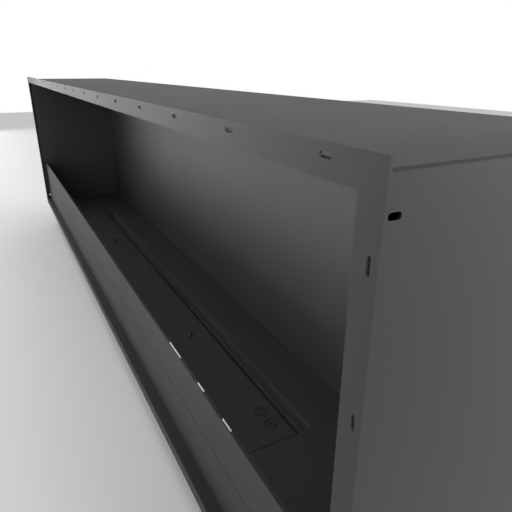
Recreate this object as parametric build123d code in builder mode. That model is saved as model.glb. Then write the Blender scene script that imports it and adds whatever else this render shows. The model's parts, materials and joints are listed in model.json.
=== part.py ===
"""Built-in linear electric fireplace with a water-mist flame slot in its floor.

Millimetres.  +X runs along the casing to its right end, +Y goes from the open
front to the back wall and +Z is up.  The origin is on the ground, under the
middle of the casing.  The open front faces -Y.
"""

import os
from math import cos, radians, sin

from build123d import *

# Casing
casing_width = 2000.0
casing_height = 492.0
depth = 300.0
sheet = 2.0
base_height = 100.0
shadow_gap = 2.5
corner_angle_leg = 20.0
corner_angle_drop = 12.5

# Inner side walls, which stand off the side panels and hide their slots
liner_inset = 20.0
liner_sheet = 1.5
liner_gap = 1.0
liner_setback = 8.0

# Fixing slots in the side panels
side_slot_length = 10.0
side_slot_width = 5.0
side_slot_inset_y = 15.0
side_slot_inset_z = 24.7

# Front flange
flange_width = 20.0
flange_overhang = 8.0
flange_sheet = 2.0
flange_return = 11.0
slot_length = 12.0
slot_width = 4.0
slot_inset = 7.2
slot_pitch = 120.0
slot_least_margin = 40.0
upright_slot_pitch = 98.7
upright_slot_least_margin = 50.0

# Low front wall: ledge, fixed rail, upper panel with a folded top
ledge_depth = 15.6
panel_sheet = 1.5
rail_height = 84.0
front_height = 153.0
panel_seam = 0.8
panel_fold = 4.5
panel_bend = 1.2
bracket_width = 30.0
bracket_foot = 30.0
bracket_sheet = 2.0
bracket_from_end = (98.0, 478.0, 818.0)

# Keys and status window in the folded top of the upper panel
key_travel = 1.2
key_rise = 1.4
key_thick = 1.5
key_tall = 16.0
key_gap = 0.25
key_run_fit = 0.1
power_key_from_end = 290.5
power_key_length = 19.0
flame_key_from_end = 214.5
flame_key_length = 21.8
window_from_end = 386.0
window_length = 44.0
window_rise = 0.6
carrier_deep = 6.5
carrier_tall = 34.0
carrier_margin = 14.0
carrier_drop = 11.0

# Floor: lid, flame slot and rear plate in one cut-out
lid_end_inset = 5.5
lid_setback = 72.0
lid_gap = 1.5
mist_slot_width = 26.0
rear_plate_depth = 46.5
rear_plate_gap = 0.5
rear_strip = 46.0
plate_edge_round = 0.9
rail_flat_width = 20.0
rail_flat_reach = 10.0
rail_flat_sheet = 2.0
rail_flat_gap = 0.5

# Lift knobs and push buttons at the lid
knob_x = 336.0
knob_from_slot = 41.0
knob_stem_r = 2.4
knob_stem_height = 4.0
knob_head_r = 4.5
knob_head_height = 4.0
knob_round = 1.2
button_from_slot = 24.0
button_from_lid_end = 71.0
button_pitch = 32.5
button_r = 8.0
button_stop_gap = 0.5
button_proud = 0.5
button_travel = 2.0
button_dimple_r = 3.2
button_dimple_depth = 1.2
button_hole_gap = 0.6
button_run_fit = 0.05
bezel_width = 2.6
bezel_height = 0.8
housing_wall = 2.0
housing_floor = 1.5
housing_drop = 14.0
housing_collar_r = 12.0
housing_collar_height = 3.0

# Base tray under the floor
tray_setback = 40.0
tray_back_setback = 20.0
tray_end_setback = 40.0
tray_sheet = 2.0
tray_flange = 16.0
foot_r = 15.0
foot_height = 6.0
foot_end_inset = 60.0
foot_side_inset = 24.0
screw_pitch = 240.0
screw_least_margin = 30.0
screw_r = 2.0
screw_fit = 0.15
screw_head_r = 4.0
screw_head_height = 2.6
screw_bite = 1.0

# Water tank, cover and mist channel
tank_length = 1380.0
tank_width = 60.0
tank_wall = 3.0
cover_sheet = 2.0
channel_height = 24.0
channel_sheet = 1.5
transducer_pitch = 80.0
transducer_end_margin = 80.0
disc_r = 12.5
disc_height = 3.0
ring_wall = 4.0
ring_height = 8.0
ring_fit = 0.1
drain_from_end = 50.0
drain_r = 7.0
drain_head_r = 10.0
drain_head_height = 4.0

# Level switch
level_from_end = 30.0
stem_r = 3.0
collar_r = 6.0
collar_height = 4.0
float_r = 10.0
float_height = 10.0
float_travel = 10.0
float_end_gap = 0.5
float_run_fit = 0.08

# Light bar in the mist channel
light_end_gap = 24.5
light_height = 12.0
light_board = 1.6
light_drop = 8.0
chip_size = 5.0
chip_height = 1.6
chip_pitch = 33.0
light_cover_sheet = 1.2

# Fans on the tank ends
fan_size = 40.0
fan_depth = 20.0
fan_bore_r = 19.0
fan_below_rim = 2.0
fan_hub_r = 8.0
fan_motor_height = 4.0
fan_strut_width = 2.4
fan_strut_thick = 3.0
rotor_r = 18.2
rotor_hub_height = 12.0
rotor_gap = 1.0
rotor_shaft_r = 1.0
rotor_shaft_fit = 0.05
blade_count = 7
blade_chord = 9.0
blade_thick = 1.2
blade_pitch = 38.0
blade_root_sink = 0.8

# Electric pieces in the front bay of the tray
bay_gap = 8.0
supply_size = (220.0, 50.0, 38.0)
supply_x = 440.0
driver_size = (170.0, 50.0, 34.0)
driver_x = -60.0
case_round = 2.0
board_size = (170.0, 60.0, 1.6)
board_x = 190.0
standoff_r = 3.0
standoff_height = 8.0
standoff_inset = 6.0
terminal_size = (60.0, 10.0, 12.0)
relay_size = (20.0, 16.0, 15.0)
capacitor_r = 6.0
capacitor_height = 18.0

# Mains inlet, its lead and the rocker switch in the right end of the tray
inlet_flange = (50.0, 30.0)
inlet_flange_thick = 2.5
inlet_body = (30.0, 22.0)
inlet_body_depth = 24.0
inlet_socket = (25.0, 17.0)
inlet_socket_depth = 17.0
inlet_pin = (2.0, 4.0)
inlet_pin_length = 12.0
inlet_pin_spread = 7.0
inlet_height = 44.0
cutout_fit = 0.2
switch_from_inlet = 52.0
switch_flange = (17.0, 24.0)
switch_flange_thick = 2.0
switch_body = (13.4, 20.0)
switch_body_depth = 17.0
switch_pocket_depth = 14.0
rocker_r = 8.0
rocker_width = 10.0
rocker_gap = 0.3
rocker_rest_tilt = 8.0
rocker_crown = 3.2
rocker_edge = 2.0
rocker_back = 4.0
rocker_pivot_depth = 6.0
rocker_pin_r = 1.25
rocker_pin_length = 1.0
rocker_pin_fit = 0.05
lead_r = 4.0
lead_first_run = 45.0
lead_slope_run = 60.0
lead_bend = 40.0

# Levels and limits that follow from the sizes above
half_width = casing_width / 2
inner_half = half_width - sheet
front_y = -depth / 2
back_y = depth / 2
skin_front = front_y + flange_sheet
floor_low = base_height
floor_top = base_height + sheet
casing_top = base_height + casing_height
top_under = casing_top - sheet
flange_low = floor_low - flange_overhang
flange_top = casing_top + flange_overhang
flange_half = half_width + flange_overhang
ledge_top = flange_low + flange_width
return_back = skin_front + flange_return - flange_sheet
return_half = inner_half - flange_sheet
liner_half = half_width - liner_inset
liner_top = top_under - shadow_gap

panel_front = front_y + ledge_depth
panel_back = panel_front + panel_sheet
seam_z = ledge_top + rail_height
panel_top = ledge_top + front_height
fold_back = panel_front + panel_fold
fold_low = panel_top - panel_sheet

slot_back = back_y - rear_strip - rear_plate_gap - rear_plate_depth
slot_front = slot_back - mist_slot_width
slot_mid = (slot_front + slot_back) / 2
tank_half = tank_length / 2
lid_half = tank_half - lid_end_inset
lid_front = front_y + lid_setback
cutout_half = lid_half + lid_gap
cutout_front = lid_front - lid_gap
cutout_back = back_y - rear_strip
rail_low = floor_low - rail_flat_sheet

tray_half = half_width - tray_end_setback
tray_front = front_y + tray_setback
tray_back = back_y - tray_back_setback
tray_low = foot_height
tray_floor = tray_low + tray_sheet
tray_flange_low = floor_low - tray_sheet
bay_front = tray_front + tray_sheet + bay_gap

cover_top = floor_low - channel_height
tank_top = cover_top - cover_sheet
tank_floor = tray_floor + tank_wall
tank_front = slot_mid - tank_width / 2
tank_back = slot_mid + tank_width / 2
channel_front = slot_front - channel_sheet
channel_back = slot_back + channel_sheet
fan_z = tank_top - fan_below_rim - fan_size / 2
drain_x = drain_from_end - tank_half
level_x = tank_half - level_from_end
light_length = 2 * (lid_half - light_end_gap)

button_y = slot_front - button_from_slot
button_first_x = lid_half - button_from_lid_end
button_xs = (button_first_x, button_first_x + button_pitch)
button_top = floor_top + button_proud
housing_low = floor_low - housing_drop
button_low = housing_low + housing_floor + button_travel + button_stop_gap
knob_y = slot_front - knob_from_slot
key_back = panel_back + key_gap + key_thick
power_key_x = inner_half - power_key_from_end
flame_key_x = inner_half - flame_key_from_end
window_x = inner_half - window_from_end
inlet_y = bay_front + supply_size[1] / 2
inlet_z = tray_floor + inlet_height
switch_y = inlet_y + switch_from_inlet
rocker_x = tray_half + switch_flange_thick - rocker_pivot_depth

front_face = Plane.XZ.offset(-front_y)


def block(x_span, y_span, z_span, mode=Mode.ADD):
    """Add a block between two limits on each axis."""
    middles = [(low + high) / 2 for low, high in (x_span, y_span, z_span)]
    sizes = [abs(high - low) for low, high in (x_span, y_span, z_span)]
    with Locations(tuple(middles)):
        Box(*sizes, mode=mode)


def spread(length, pitch, least_margin):
    """Give the evenly pitched places that fit on a length, about its middle."""
    count = int((length - 2 * least_margin) // pitch) + 1
    return [(place - (count - 1) / 2) * pitch for place in range(count)]


def sides(low, high, side):
    """Give a span on the right for side 1, or its mirror image for side -1."""
    return (low, high) if side > 0 else (-high, -low)


# Casing panels

with BuildPart() as top_panel:
    block((-half_width, half_width), (skin_front, back_y), (top_under, casing_top))

with BuildPart() as back_panel:
    block((-inner_half, inner_half), (back_y - sheet, back_y), (floor_top, top_under))


def side_panel(side):
    """One end wall, a shadow gap lower than the top panel behind the flange return."""
    slot_rows = (floor_low + side_slot_inset_z, casing_top - side_slot_inset_z)
    slot_columns = (front_y + side_slot_inset_y, back_y - side_slot_inset_y)
    with BuildPart() as wall:
        with BuildSketch(Plane.YZ.offset(side * inner_half)):
            with BuildLine():
                Polyline(
                    (skin_front, floor_low),
                    (back_y, floor_low),
                    (back_y, top_under - shadow_gap),
                    (return_back, top_under - shadow_gap),
                    (return_back, top_under),
                    (skin_front, top_under),
                    close=True,
                )
            make_face()
            with Locations([(y, z) for y in slot_columns for z in slot_rows]):
                SlotOverall(side_slot_length, side_slot_width, mode=Mode.SUBTRACT)
        extrude(amount=side * sheet)
    return wall


left_side_panel = side_panel(-1)
right_side_panel = side_panel(1)

with BuildPart() as casing_corner_angles:
    angle_span = (return_back, back_y - sheet)
    for side in (-1, 1):
        block(
            sides(inner_half - corner_angle_leg, inner_half, side),
            angle_span,
            (top_under - shadow_gap, top_under),
        )
        block(
            sides(inner_half - shadow_gap, inner_half, side),
            angle_span,
            (top_under - shadow_gap - corner_angle_drop, top_under - shadow_gap),
        )

screw_rows = (tray_front - tray_flange / 2, tray_back + tray_flange / 2)
screw_places = [
    (x, y) for x in spread(2 * tray_half, screw_pitch, screw_least_margin) for y in screw_rows
]

with BuildPart() as floor_panel:
    block((-inner_half, inner_half), (skin_front, back_y), (floor_low, floor_top))
    block(
        (-cutout_half, cutout_half),
        (cutout_front, cutout_back),
        (floor_low, floor_top),
        mode=Mode.SUBTRACT,
    )
    with BuildSketch(Plane.XY.offset(floor_low)):
        with Locations(screw_places):
            Circle(screw_r)
    extrude(amount=screw_bite, mode=Mode.SUBTRACT)

# Front flange in four strips

row_slots = spread(2 * flange_half, slot_pitch, slot_least_margin)
upright_slots = spread(flange_top - flange_low, upright_slot_pitch, upright_slot_least_margin)
flange_mid_z = (flange_low + flange_top) / 2

with BuildPart() as top_flange:
    with BuildSketch(front_face):
        with Locations((0, flange_top - flange_width / 2)):
            Rectangle(2 * flange_half, flange_width)
        with Locations([(x, flange_top - slot_inset) for x in row_slots]):
            SlotOverall(slot_length, slot_width, mode=Mode.SUBTRACT)
    extrude(amount=-flange_sheet)
    block((-return_half, return_half), (skin_front, return_back), (top_under - flange_sheet, top_under))

with BuildPart() as bottom_flange:
    with BuildSketch(front_face):
        with Locations((0, flange_low + flange_width / 2)):
            Rectangle(2 * flange_half, flange_width)
        with Locations([(x, flange_low + slot_inset) for x in row_slots]):
            SlotOverall(slot_length, slot_width, mode=Mode.SUBTRACT)
    extrude(amount=-flange_sheet)
    block((-return_half, return_half), (skin_front, panel_front), (ledge_top - flange_sheet, ledge_top))


def upright_flange(side):
    """One end strip of the flange, between the top and bottom strips."""
    strip_low = ledge_top
    strip_high = flange_top - flange_width
    with BuildPart() as strip:
        with BuildSketch(front_face):
            with Locations((side * (flange_half - flange_width / 2), (strip_low + strip_high) / 2)):
                Rectangle(flange_width, strip_high - strip_low)
            slot_x = side * (flange_half - slot_inset)
            with Locations([(slot_x, flange_mid_z + z) for z in upright_slots]):
                SlotOverall(slot_length, slot_width, rotation=90, mode=Mode.SUBTRACT)
        extrude(amount=-flange_sheet)
        block(sides(return_half, inner_half, side), (skin_front, return_back), (strip_low, strip_high))
    return strip


left_flange = upright_flange(-1)
right_flange = upright_flange(1)

# Low front wall

with BuildPart() as lower_front_rail:
    block((-inner_half, inner_half), (panel_front, panel_back), (floor_top, seam_z - panel_seam / 2))

key_slots = (
    (window_x, window_length),
    (power_key_x, power_key_length),
    (flame_key_x, flame_key_length),
)

with BuildPart() as upper_front_panel:
    block((-inner_half, inner_half), (panel_front, panel_back), (seam_z + panel_seam / 2, panel_top))
    block((-inner_half, inner_half), (panel_back, fold_back), (fold_low, panel_top))
    bend = upper_front_panel.edges().filter_by(Axis.X).group_by(Axis.Z)[-1].sort_by(Axis.Y)[0]
    fillet(bend, panel_bend)
    for key_x, key_length in key_slots:
        reach = key_length / 2 + key_gap
        block(
            (key_x - reach, key_x + reach),
            (panel_back, key_back + key_gap),
            (fold_low, panel_top),
            mode=Mode.SUBTRACT,
        )

with BuildPart() as front_panel_brackets:
    for side in (-1, 1):
        for from_end in bracket_from_end:
            middle = side * (inner_half - from_end)
            width_span = (middle - bracket_width / 2, middle + bracket_width / 2)
            block(width_span, (panel_back, panel_back + bracket_sheet), (floor_top, fold_low))
            block(
                width_span,
                (panel_back + bracket_sheet, panel_back + bracket_foot),
                (floor_top, floor_top + bracket_sheet),
            )

# Inner side walls


def side_liner(side):
    """One inner end wall, notched over the low front wall and folded out at its front and back."""
    notch_back = fold_back + liner_gap
    notch_top = panel_top + liner_gap
    front = skin_front + liner_setback
    rear = back_y - sheet
    fold_reach = sides(liner_half + liner_sheet, return_half - liner_gap, side)
    with BuildPart() as wall:
        with BuildSketch(Plane.YZ.offset(side * liner_half)):
            with BuildLine():
                Polyline(
                    (notch_back, floor_top),
                    (rear, floor_top),
                    (rear, liner_top),
                    (front, liner_top),
                    (front, notch_top),
                    (notch_back, notch_top),
                    close=True,
                )
            make_face()
        extrude(amount=side * liner_sheet)
        block(fold_reach, (front, front + liner_sheet), (notch_top, liner_top))
        block(fold_reach, (rear - liner_sheet, rear), (floor_top, liner_top))
    return wall


left_side_liner = side_liner(-1)
right_side_liner = side_liner(1)

# Keys, status window and the carrier that guides them

carrier_top = panel_top - carrier_drop
carrier_low = carrier_top - carrier_tall
key_low = panel_top + key_rise - key_tall
key_seat = key_low - key_travel - key_gap
window_low = key_seat

with BuildPart() as key_carrier:
    block(
        (window_x - window_length / 2 - carrier_margin, flame_key_x + flame_key_length / 2 + carrier_margin),
        (panel_back, panel_back + carrier_deep),
        (carrier_low, carrier_top),
    )
    for key_x, key_length in key_slots:
        reach = key_length / 2 + key_run_fit
        block(
            (key_x - reach, key_x + reach),
            (panel_back + key_gap - key_run_fit, key_back + key_run_fit),
            (key_seat, carrier_top),
            mode=Mode.SUBTRACT,
        )


def key(key_x, key_length):
    """One thin key that stands out of the fold and is pressed down."""
    with BuildPart() as blade:
        block(
            (key_x - key_length / 2, key_x + key_length / 2),
            (panel_back + key_gap, key_back),
            (key_low, panel_top + key_rise),
        )
        fillet(blade.faces().sort_by(Axis.Z)[-1].edges(), key_thick / 5)
    return blade


power_key = key(power_key_x, power_key_length)
flame_key = key(flame_key_x, flame_key_length)

with BuildPart() as status_window:
    block(
        (window_x - window_length / 2, window_x + window_length / 2),
        (panel_back + key_gap, key_back),
        (window_low, panel_top + window_rise),
    )
    fillet(status_window.faces().sort_by(Axis.Z)[-1].edges(), key_thick / 5)

# Floor cut-out: support flats, rear plate, lid with its knobs and bezels

with BuildPart() as cutout_rails:
    flat_inner = cutout_half - rail_flat_reach
    flat_outer = flat_inner + rail_flat_width
    front_flat = cutout_front + rail_flat_reach - rail_flat_width
    back_flat = cutout_back - rail_flat_reach + rail_flat_width
    rail_span = (rail_low, floor_low)
    block((-flat_inner, flat_inner), (front_flat, front_flat + rail_flat_width), rail_span)
    block((-flat_inner, flat_inner), (back_flat - rail_flat_width, back_flat), rail_span)
    for side in (-1, 1):
        end_span = sides(flat_inner + rail_flat_gap, flat_outer, side)
        block(end_span, (front_flat, channel_front), rail_span)
        block(end_span, (channel_back, back_flat), rail_span)

with BuildPart() as rear_floor_plate:
    block(
        (-lid_half, lid_half),
        (slot_back, slot_back + rear_plate_depth),
        (floor_low, floor_top),
    )
    lip = rear_floor_plate.edges().filter_by(Axis.X).group_by(Axis.Y)[0].sort_by(Axis.Z)[-1]
    fillet(lip, plate_edge_round)

with BuildPart() as slot_lid:
    block((-lid_half, lid_half), (lid_front, slot_front), (floor_low, floor_top))
    with BuildSketch(Plane.XY.offset(floor_low)):
        with Locations([(x, button_y) for x in button_xs]):
            Circle(button_r + button_hole_gap)
    extrude(amount=sheet, mode=Mode.SUBTRACT)

with BuildPart() as lid_knobs:
    with BuildSketch(Plane.XY.offset(floor_top)):
        with Locations((-knob_x, knob_y), (knob_x, knob_y)):
            Circle(knob_stem_r)
    extrude(amount=knob_stem_height)
    with BuildSketch(Plane.XY.offset(floor_top + knob_stem_height)):
        with Locations((-knob_x, knob_y), (knob_x, knob_y)):
            Circle(knob_head_r)
    extrude(amount=knob_head_height)
    fillet(lid_knobs.edges().filter_by(GeomType.CIRCLE).group_by(Axis.Z)[-1], knob_round)

with BuildPart() as button_bezels:
    with BuildSketch(Plane.XY.offset(floor_top)):
        with Locations([(x, button_y) for x in button_xs]):
            Circle(button_r + button_hole_gap + bezel_width)
            Circle(button_r + button_hole_gap, mode=Mode.SUBTRACT)
    extrude(amount=bezel_height)

# Push buttons held in the lid

with BuildPart() as button_housings:
    with BuildSketch(Plane.XY.offset(housing_low)):
        with Locations([(x, button_y) for x in button_xs]):
            Circle(button_r + housing_wall)
    extrude(amount=housing_drop)
    with BuildSketch(Plane.XY.offset(floor_low)):
        with Locations([(x, button_y) for x in button_xs]):
            Circle(housing_collar_r)
    extrude(amount=-housing_collar_height)
    with BuildSketch(Plane.XY.offset(housing_low + housing_floor)):
        with Locations([(x, button_y) for x in button_xs]):
            Circle(button_r + button_run_fit)
    extrude(amount=housing_drop, mode=Mode.SUBTRACT)


def push_button(button_x):
    """One round cap with a dimple in its middle."""
    with BuildPart() as cap:
        with BuildSketch(Plane.XY.offset(button_low)):
            with Locations((button_x, button_y)):
                Circle(button_r)
        extrude(amount=button_top - button_low)
        fillet(cap.edges().filter_by(GeomType.CIRCLE).sort_by(Axis.Z)[-1], button_proud)
        with BuildSketch(Plane.XY.offset(button_top - button_dimple_depth)):
            with Locations((button_x, button_y)):
                Circle(button_dimple_r)
        extrude(amount=button_dimple_depth, mode=Mode.SUBTRACT)
    return cap


light_button = push_button(button_xs[0])
mist_button = push_button(button_xs[1])

# Base tray, its ends, feet and screws

with BuildPart() as base_tray:
    tray_span = (-tray_half, tray_half)
    wall_span = (tray_floor, floor_low)
    flange_span = (tray_flange_low, floor_low)
    block(tray_span, (tray_front, tray_back), (tray_low, tray_floor))
    block(tray_span, (tray_front, tray_front + tray_sheet), wall_span)
    block(tray_span, (tray_back - tray_sheet, tray_back), wall_span)
    block(tray_span, (tray_front - tray_flange, tray_front), flange_span)
    block(tray_span, (tray_back, tray_back + tray_flange), flange_span)
    with BuildSketch(Plane.XY.offset(tray_flange_low)):
        with Locations(screw_places):
            Circle(screw_r + screw_fit)
    extrude(amount=tray_sheet, mode=Mode.SUBTRACT)


def tray_end(side):
    """One end wall of the tray with its turned-out top edge."""
    inner_span = (tray_front + tray_sheet, tray_back - tray_sheet)
    with BuildPart() as wall:
        block(sides(tray_half - tray_sheet, tray_half, side), inner_span, (tray_floor, floor_low))
        block(sides(tray_half, tray_half + tray_flange, side), inner_span, (tray_flange_low, floor_low))
        if side > 0:
            for middle, size in ((inlet_y, inlet_body), (switch_y, switch_body)):
                reach_y = size[0] / 2 + cutout_fit
                reach_z = size[1] / 2 + cutout_fit
                block(
                    (tray_half - tray_sheet, tray_half),
                    (middle - reach_y, middle + reach_y),
                    (inlet_z - reach_z, inlet_z + reach_z),
                    mode=Mode.SUBTRACT,
                )
    return wall


base_left_end = tray_end(-1)
base_right_end = tray_end(1)

with BuildPart() as base_feet:
    foot_columns = (-tray_half + foot_end_inset, 0, tray_half - foot_end_inset)
    foot_rows = (tray_front + foot_side_inset, tray_back - foot_side_inset)
    with BuildSketch():
        with Locations([(x, y) for x in foot_columns for y in foot_rows]):
            Circle(foot_r)
    extrude(amount=foot_height)

with BuildPart() as base_screws:
    with BuildSketch(Plane.XY.offset(tray_flange_low)):
        with Locations(screw_places):
            Circle(screw_head_r)
    extrude(amount=-screw_head_height)
    with BuildSketch(Plane.XY.offset(tray_flange_low)):
        with Locations(screw_places):
            Circle(screw_r)
    extrude(amount=tray_sheet + screw_bite)

# Water tank with its cover, channel, transducers, drain plug and level switch

with BuildPart() as water_tank:
    block((-tank_half, tank_half), (tank_front, tank_back), (tray_floor, tank_top))
    block(
        (-tank_half + tank_wall, tank_half - tank_wall),
        (tank_front + tank_wall, tank_back - tank_wall),
        (tank_floor, tank_top),
        mode=Mode.SUBTRACT,
    )
    with BuildSketch(Plane.YZ.offset(-tank_half)):
        with Locations((slot_mid, fan_z)):
            Circle(fan_bore_r)
    extrude(amount=tank_length, mode=Mode.SUBTRACT)
    with BuildSketch(Plane.XZ.offset(-tank_front)):
        with Locations((drain_x, tank_floor + drain_r)):
            Circle(drain_r + ring_fit)
    extrude(amount=-tank_wall, mode=Mode.SUBTRACT)

with BuildPart() as drain_plug:
    with BuildSketch(Plane.XZ.offset(-tank_front)):
        with Locations((drain_x, tank_floor + drain_r)):
            Circle(drain_r)
    extrude(amount=-tank_wall)
    with BuildSketch(Plane.XZ.offset(-tank_front)):
        with Locations((drain_x, tank_floor + drain_r)):
            Circle(drain_head_r)
    extrude(amount=drain_head_height)

with BuildPart() as tank_cover:
    block((-tank_half, tank_half), (tank_front, tank_back), (tank_top, cover_top))
    block(
        (-lid_half, lid_half),
        (slot_front, slot_back),
        (tank_top, cover_top),
        mode=Mode.SUBTRACT,
    )

with BuildPart() as mist_channel:
    block(
        (-lid_half - channel_sheet, lid_half + channel_sheet),
        (channel_front, channel_back),
        (cover_top, floor_low),
    )
    block((-lid_half, lid_half), (slot_front, slot_back), (cover_top, floor_low), mode=Mode.SUBTRACT)

transducer_xs = spread(tank_length, transducer_pitch, transducer_end_margin)

with BuildPart() as transducer_rings:
    with BuildSketch(Plane.XY.offset(tank_floor)):
        with Locations([(x, slot_mid) for x in transducer_xs]):
            Circle(disc_r + ring_fit + ring_wall)
            Circle(disc_r + ring_fit, mode=Mode.SUBTRACT)
    extrude(amount=ring_height)

with BuildPart() as transducer_discs:
    with BuildSketch(Plane.XY.offset(tank_floor)):
        with Locations([(x, slot_mid) for x in transducer_xs]):
            Circle(disc_r)
    extrude(amount=disc_height)

float_low = tank_floor + collar_height
stem_top = float_low + float_height + float_travel + float_end_gap + collar_height

with BuildPart() as level_switch_stem:
    with BuildSketch(Plane.XY.offset(tank_floor)):
        with Locations((level_x, slot_mid)):
            Circle(stem_r)
    extrude(amount=stem_top - tank_floor)
    for collar_z in (tank_floor, stem_top - collar_height):
        with BuildSketch(Plane.XY.offset(collar_z)):
            with Locations((level_x, slot_mid)):
                Circle(collar_r)
        extrude(amount=collar_height)

with BuildPart() as level_float:
    with BuildSketch(Plane.XY.offset(float_low)):
        with Locations((level_x, slot_mid)):
            Circle(float_r)
            Circle(stem_r + float_run_fit, mode=Mode.SUBTRACT)
    extrude(amount=float_height)

# Light bar on the front wall of the channel

light_top = floor_low - light_drop
light_span = (light_top - light_height, light_top)
chip_back = slot_front + light_board + chip_height

with BuildPart() as light_board_bar:
    block((-light_length / 2, light_length / 2), (slot_front, slot_front + light_board), light_span)

with BuildPart() as light_chips:
    light_mid = (light_span[0] + light_span[1]) / 2
    for chip_x in spread(light_length, chip_pitch, chip_size):
        block(
            (chip_x - chip_size / 2, chip_x + chip_size / 2),
            (slot_front + light_board, chip_back),
            (light_mid - chip_size / 2, light_mid + chip_size / 2),
        )

with BuildPart() as light_cover:
    block((-light_length / 2, light_length / 2), (chip_back, chip_back + light_cover_sheet), light_span)

# Fans, one on each end wall of the tank


def fan_frame(side):
    """One square frame with a motor seat on four struts at its outer face."""
    outer = side * (tank_half + fan_depth)
    with BuildPart() as frame:
        with BuildSketch(Plane.YZ.offset(side * tank_half)):
            with Locations((slot_mid, fan_z)):
                Rectangle(fan_size, fan_size)
                Circle(fan_bore_r, mode=Mode.SUBTRACT)
        extrude(amount=side * fan_depth)
        with BuildSketch(Plane.YZ.offset(outer)):
            with Locations((slot_mid, fan_z)):
                Rectangle(fan_size, fan_strut_width, rotation=45)
                Rectangle(fan_size, fan_strut_width, rotation=-45)
        extrude(amount=-side * fan_strut_thick)
        with BuildSketch(Plane.YZ.offset(outer)):
            with Locations((slot_mid, fan_z)):
                Circle(fan_hub_r)
        extrude(amount=-side * fan_motor_height)
        with BuildSketch(Plane.YZ.offset(outer)):
            with Locations((slot_mid, fan_z)):
                Circle(rotor_shaft_r + rotor_shaft_fit)
        extrude(amount=-side * fan_motor_height, mode=Mode.SUBTRACT)
    return frame


def fan_rotor(side):
    """One hub with pitched blades and the shaft that runs in the motor seat."""
    hub_outer = side * (tank_half + fan_depth - fan_motor_height - rotor_gap)
    hub_mid = hub_outer - side * rotor_hub_height / 2
    blade_start = fan_hub_r - blade_root_sink
    with BuildPart() as rotor:
        with BuildSketch(Plane.YZ.offset(hub_outer)):
            with Locations((slot_mid, fan_z)):
                Circle(fan_hub_r)
        extrude(amount=-side * rotor_hub_height)
        with BuildSketch(Plane.YZ.offset(hub_outer)):
            with Locations((slot_mid, fan_z)):
                Circle(rotor_shaft_r)
        extrude(amount=side * (fan_motor_height + rotor_gap))
        for blade in range(blade_count):
            turn = radians(360 * blade / blade_count)
            outward = Vector(0, cos(turn), sin(turn))
            around = Vector(0, -sin(turn), cos(turn))
            chord = Vector(cos(radians(blade_pitch)), 0, 0) + around * sin(radians(blade_pitch))
            root = Vector(hub_mid, slot_mid, fan_z) + outward * blade_start
            with BuildSketch(Plane(root, x_dir=chord, z_dir=outward)):
                Rectangle(blade_chord, blade_thick)
            extrude(amount=rotor_r - blade_start)
    return rotor


left_fan_frame = fan_frame(-1)
right_fan_frame = fan_frame(1)
left_fan_rotor = fan_rotor(-1)
right_fan_rotor = fan_rotor(1)

# Electric pieces on the tray floor, in front of the tank


def cased_unit(size, middle_x):
    """One closed metal case with rounded upright corners."""
    with BuildPart() as case:
        block(
            (middle_x - size[0] / 2, middle_x + size[0] / 2),
            (bay_front, bay_front + size[1]),
            (tray_floor, tray_floor + size[2]),
        )
        fillet(case.edges().filter_by(Axis.Z), case_round)
    return case


power_supply = cased_unit(supply_size, supply_x)
mist_driver = cased_unit(driver_size, driver_x)

board_mid_y = bay_front + board_size[1] / 2
board_low = tray_floor + standoff_height
board_top = board_low + board_size[2]

with BuildPart() as board_standoffs:
    with BuildSketch(Plane.XY.offset(tray_floor)):
        with Locations((board_x, board_mid_y)):
            with GridLocations(
                board_size[0] - 2 * standoff_inset, board_size[1] - 2 * standoff_inset, 2, 2
            ):
                Circle(standoff_r)
    extrude(amount=standoff_height)

with BuildPart() as control_board:
    block(
        (board_x - board_size[0] / 2, board_x + board_size[0] / 2),
        (bay_front, bay_front + board_size[1]),
        (board_low, board_top),
    )

with BuildPart() as board_parts:
    terminal_back = bay_front + board_size[1] - standoff_inset
    block(
        (board_x - terminal_size[0] / 2, board_x + terminal_size[0] / 2),
        (terminal_back - terminal_size[1], terminal_back),
        (board_top, board_top + terminal_size[2]),
    )
    for step in (-1, 1):
        relay_x = board_x + step * relay_size[0]
        block(
            (relay_x - relay_size[0] / 3, relay_x + relay_size[0] / 3),
            (bay_front + standoff_inset, bay_front + standoff_inset + relay_size[1]),
            (board_top, board_top + relay_size[2]),
        )
    with BuildSketch(Plane.XY.offset(board_top)):
        with Locations([(board_x + step * board_size[0] / 3, board_mid_y) for step in (-1, 1)]):
            Circle(capacitor_r)
    extrude(amount=capacitor_height)

# Mains inlet, rocker switch and the inner lead

inlet_face = tray_half + inlet_flange_thick

with BuildPart() as power_inlet:
    with BuildSketch(Plane.YZ.offset(tray_half)):
        with Locations((inlet_y, inlet_z)):
            RectangleRounded(inlet_flange[0], inlet_flange[1], inlet_flange_thick)
    extrude(amount=inlet_flange_thick)
    with BuildSketch(Plane.YZ.offset(tray_half)):
        with Locations((inlet_y, inlet_z)):
            Rectangle(*inlet_body)
    extrude(amount=-inlet_body_depth)
    with BuildSketch(Plane.YZ.offset(inlet_face)):
        with Locations((inlet_y, inlet_z)):
            Rectangle(*inlet_socket)
    extrude(amount=-inlet_socket_depth, mode=Mode.SUBTRACT)

with BuildPart() as inlet_pins:
    with BuildSketch(Plane.YZ.offset(inlet_face - inlet_socket_depth)):
        with Locations(
            (inlet_y - inlet_pin_spread, inlet_z - inlet_pin[1] / 2),
            (inlet_y, inlet_z + inlet_pin[1] / 2),
            (inlet_y + inlet_pin_spread, inlet_z - inlet_pin[1] / 2),
        ):
            Rectangle(*inlet_pin)
    extrude(amount=inlet_pin_length)

pin_reach = rocker_width / 2 + rocker_pin_length

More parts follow.
